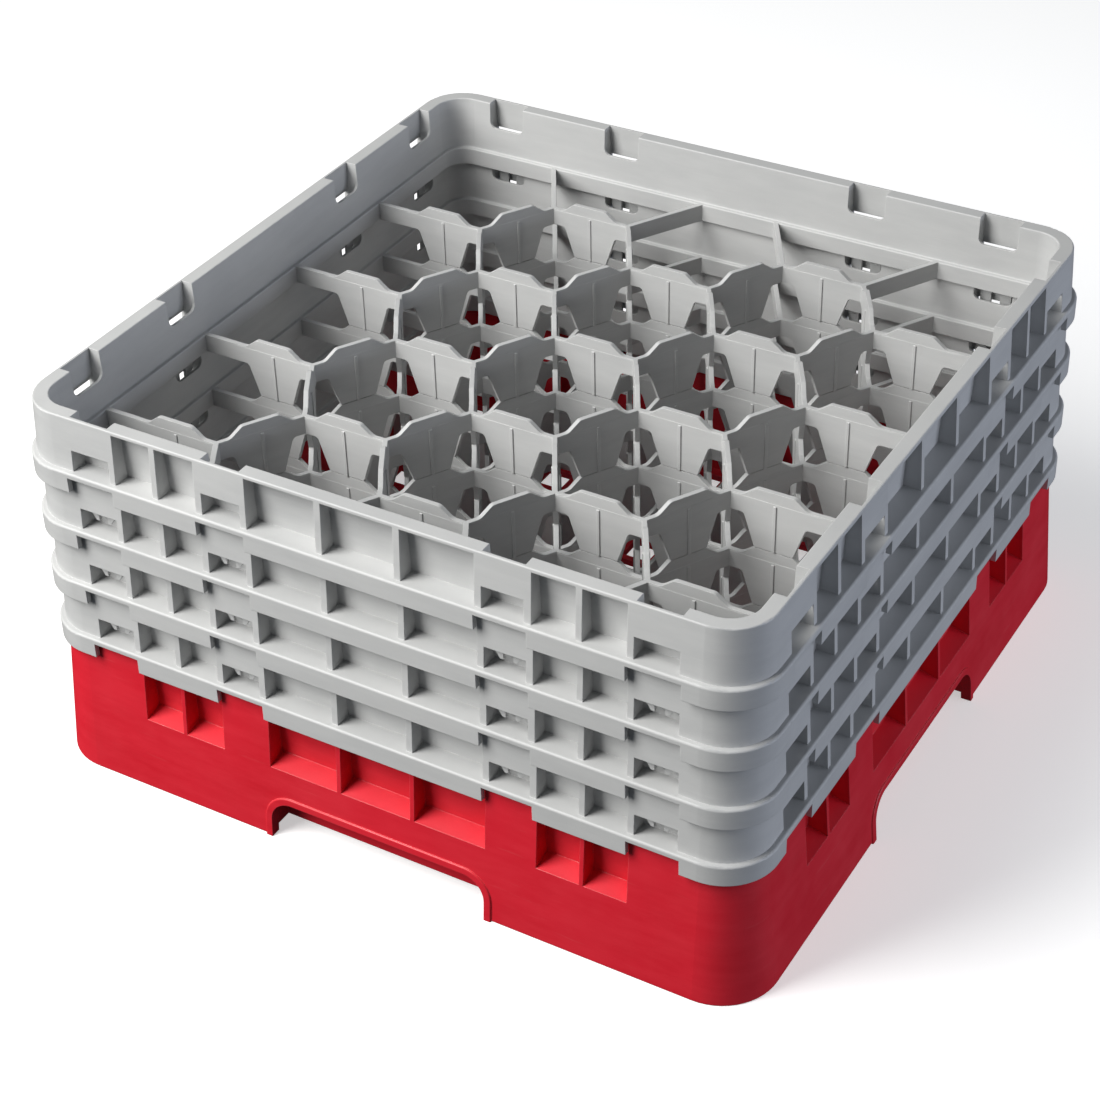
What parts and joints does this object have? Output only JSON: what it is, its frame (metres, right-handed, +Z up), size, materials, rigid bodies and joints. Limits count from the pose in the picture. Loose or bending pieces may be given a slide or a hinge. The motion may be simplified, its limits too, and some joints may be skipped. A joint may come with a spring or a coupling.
{
  "type": "dishwasher glass rack",
  "caption": "Square stacking rack for washing, carrying and storing glasses: a red open base with hand arches, clip-on grey extenders and hexagonal compartments",
  "frame": {"origin": "centre of the rack's footprint, on the plane of the base rack's bottom edge", "axes": "+Z up, out of the open top; +X along the honeycomb's straight walls; -Y is the front"},
  "size_m": [0.5046, 0.5046, 0.264],
  "materials": {
    "red_plastic": "satin moulded polypropylene, strong red",
    "grey_plastic": "satin moulded polypropylene, light neutral grey"
  },
  "bodies": {
    "base": {"base_rack": "red_plastic", "base_partition": "grey_plastic"},
    "level_1": {"extender_1": "grey_plastic"},
    "level_2": {"extender_2": "grey_plastic"},
    "level_3": {"extender_3": "grey_plastic"},
    "level_4": {"extender_4": "grey_plastic"}
  },
  "joints": [
    {"name": "extender_1_lift", "type": "slide", "parent": "base", "child": "level_1", "axis": [0, 0, 1], "range_m": [0, 0.05]},
    {"name": "extender_2_lift", "type": "slide", "parent": "level_1", "child": "level_2", "axis": [0, 0, 1], "range_m": [0, 0.05]},
    {"name": "extender_3_lift", "type": "slide", "parent": "level_2", "child": "level_3", "axis": [0, 0, 1], "range_m": [0, 0.05]},
    {"name": "extender_4_lift", "type": "slide", "parent": "level_3", "child": "level_4", "axis": [0, 0, 1], "range_m": [0, 0.05]}
  ]
}
